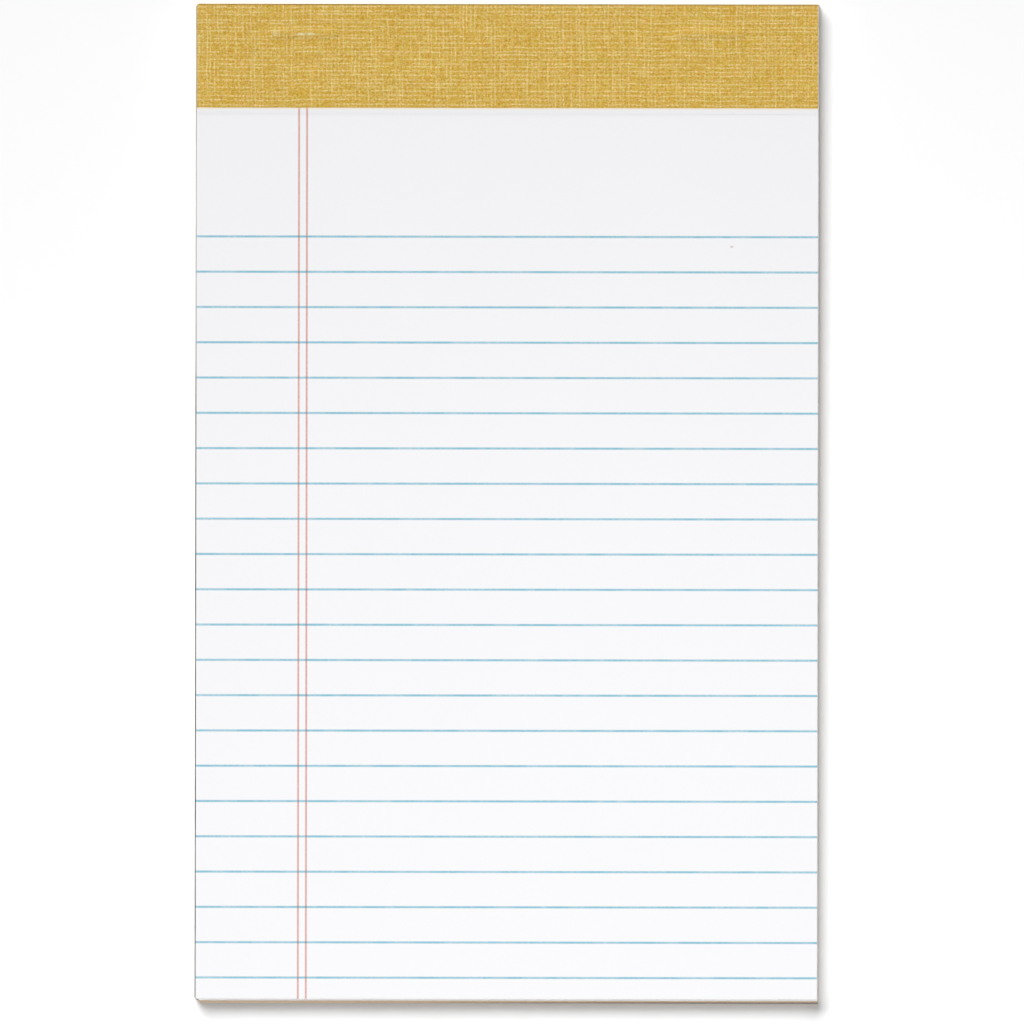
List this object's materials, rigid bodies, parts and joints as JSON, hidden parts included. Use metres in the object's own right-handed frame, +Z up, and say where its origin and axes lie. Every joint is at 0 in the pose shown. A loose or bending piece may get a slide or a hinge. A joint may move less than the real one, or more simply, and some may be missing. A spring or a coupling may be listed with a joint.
{
  "type": "legal pad",
  "caption": "Small top-bound legal pad of ruled white sheets on a chipboard back, stapled at the head under a folded gold binding tape, with a tear-off row.",
  "frame": {"origin": "under the middle of the pad, on the surface that it lies on, level with the underside of the tape's back flap", "axes": "+X to the right of the ruled page, +Y from the foot to the taped head, +Z up out of the top sheet"},
  "size_m": [0.1278, 0.2044, 0.0058],
  "materials": {
    "paper": "uncoated white writing paper with pale blue rules and a double red margin line",
    "board": "grey-brown recycled chipboard",
    "tape": "gold paper with an embossed linen finish",
    "wire": "galvanised stitching wire"
  },
  "bodies": {
    "root": {"sheet_block": "paper", "backing_board": "board", "head_tape": "tape", "staples": "wire"}
  },
  "joints": []
}
